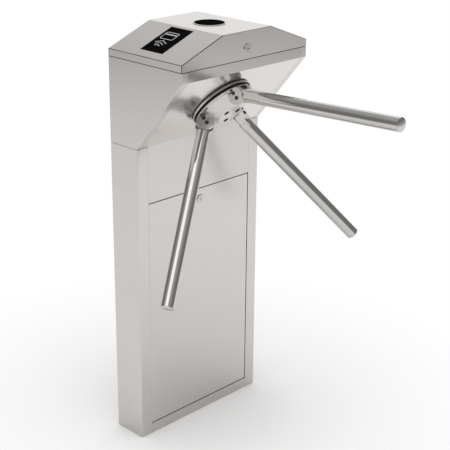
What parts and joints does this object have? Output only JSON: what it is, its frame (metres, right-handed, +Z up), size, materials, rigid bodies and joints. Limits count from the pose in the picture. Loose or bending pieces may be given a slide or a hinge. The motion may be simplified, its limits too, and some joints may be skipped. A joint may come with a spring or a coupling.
{
  "type": "tripod turnstile",
  "caption": "Slim floor-standing tripod turnstile: brushed steel column, wider sloped head with rotating arms, hinged lid with reader window and a side access door.",
  "frame": {"origin": "centre of the anchor bolt pattern, on the floor under the column", "axes": "+Z up, +X into the passage on the side of the arms, -Y the front, where cards are read"},
  "size_m": [0.655, 0.6384, 0.9812],
  "materials": {
    "cabinet_sheet": "fine satin brushed stainless sheet",
    "polished_tube": "polished stainless tube",
    "hub_metal": "satin machined stainless",
    "dark_fastener": "black oxide",
    "black_window": "gloss black acrylic",
    "black_rubber": "matt black rubber",
    "zinc_steel": "zinc plated",
    "machine_steel": "turned and ground steel",
    "lock_metal": "nickel plated",
    "circuit_board": "green solder mask",
    "black_plastic": "moulded black",
    "supply_case": "plain aluminium case"
  },
  "bodies": {
    "cabinet": {"base_plate": "zinc_steel", "bearing_housing": "machine_steel", "cable_grommet": "black_rubber", "chassis_plate": "zinc_steel", "collar_ring": "polished_tube", "column_back_panel": "cabinet_sheet", "column_front_post": "cabinet_sheet", "column_rear_post": "cabinet_sheet", "column_upper_panel": "cabinet_sheet", "control_board": "circuit_board", "damper_body": "black_plastic", "head_back_panel": "cabinet_sheet", "head_deck": "zinc_steel", "head_front_panel": "cabinet_sheet", "head_rear_panel": "cabinet_sheet", "head_slope_panel": "cabinet_sheet", "lid_hinge_fixed_leaves": "zinc_steel", "lid_hinge_pins": "zinc_steel", "plinth_panel": "cabinet_sheet", "position_sensor": "black_plastic", "power_supply": "supply_case", "seal_ring": "black_rubber", "shaft_bearings": "machine_steel", "solenoids": "black_plastic", "strike_bracket": "zinc_steel", "terminal_block": "black_plastic"},
    "lid": {"lid_shell": "cabinet_sheet", "reader_window": "black_window", "reader_module": "black_plastic", "indicator_lens": "black_window", "indicator_bezel": "hub_metal", "indicator_board": "circuit_board", "lid_lock_housing": "lock_metal", "lid_hinge_moving_leaves": "zinc_steel"},
    "lid_lock": {"lid_lock_plug": "lock_metal", "lid_lock_cam": "zinc_steel"},
    "door": {"access_door": "cabinet_sheet", "door_pivot_pins": "zinc_steel", "door_lock_housing": "lock_metal"},
    "door_lock": {"door_lock_plug": "lock_metal", "door_lock_cam": "zinc_steel"},
    "rotor": {"rotor_disc": "hub_metal", "hub_body": "hub_metal", "hub_bolts": "dark_fastener", "arm_1": "polished_tube", "arm_2": "polished_tube", "arm_3": "polished_tube", "arm_end_caps": "polished_tube", "arm_bolts": "dark_fastener", "main_shaft": "machine_steel", "shaft_nut": "machine_steel", "main_gear": "machine_steel", "index_disc": "machine_steel", "encoder_disc": "machine_steel"},
    "damper": {"damper_pinion": "machine_steel"},
    "rear_pawl_lever": {"rear_pawl": "machine_steel"},
    "front_pawl_lever": {"front_pawl": "machine_steel"},
    "rear_solenoid_core": {"rear_plunger": "machine_steel"},
    "front_solenoid_core": {"front_plunger": "machine_steel"}
  },
  "joints": [
    {"name": "rotor_spin", "type": "hinge", "parent": "cabinet", "child": "rotor", "pos_m": [0.11357, 0, 0.80561], "axis": [0.7649, 0, -0.6441], "continuous": true},
    {"name": "damper_spin", "type": "hinge", "parent": "cabinet", "child": "damper", "pos_m": [0.09415, -0.05222, 0.78255], "axis": [0.7649, 0, -0.6441], "continuous": true},
    {"name": "lid_open", "type": "hinge", "parent": "cabinet", "child": "lid", "pos_m": [-0.0475, 0, 0.91775], "axis": [0, -1, 0], "range_deg": [0, 80]},
    {"name": "lid_lock_turn", "type": "hinge", "parent": "lid", "child": "lid_lock", "pos_m": [0.188, 0, 0.941], "axis": [1, 0, 0], "range_deg": [0, 90]},
    {"name": "door_swing", "type": "hinge", "parent": "cabinet", "child": "door", "pos_m": [0.039, 0.1485, 0.3], "axis": [0, 0, 1], "range_deg": [0, 90]},
    {"name": "door_lock_turn", "type": "hinge", "parent": "door", "child": "door_lock", "pos_m": [0.044, 0, 0.562], "axis": [1, 0, 0], "range_deg": [0, 90]},
    {"name": "rear_pawl_swing", "type": "hinge", "parent": "cabinet", "child": "rear_pawl_lever", "pos_m": [0.0188, 0.074, 0.82659], "axis": [0.7649, 0, -0.6441], "range_deg": [0, 10], "stiffness_Nm_per_rad": 1},
    {"name": "rear_plunger_push", "type": "slide", "parent": "cabinet", "child": "rear_solenoid_core", "axis": [0, -1, 0], "range_m": [0, 0.0053]},
    {"name": "front_pawl_swing", "type": "hinge", "parent": "cabinet", "child": "front_pawl_lever", "pos_m": [0.0188, -0.074, 0.82659], "axis": [-0.7649, 0, 0.6441], "range_deg": [0, 10], "stiffness_Nm_per_rad": 1},
    {"name": "front_plunger_push", "type": "slide", "parent": "cabinet", "child": "front_solenoid_core", "axis": [0, 1, 0], "range_m": [0, 0.0053]}
  ],
  "couplings": [
    {"joint": "damper_spin", "follows": "rotor_spin", "ratio": -3},
    {"joint": "rear_plunger_push", "follows": "rear_pawl_swing", "m_per_rad": 0.030367},
    {"joint": "front_plunger_push", "follows": "front_pawl_swing", "m_per_rad": 0.030367}
  ]
}
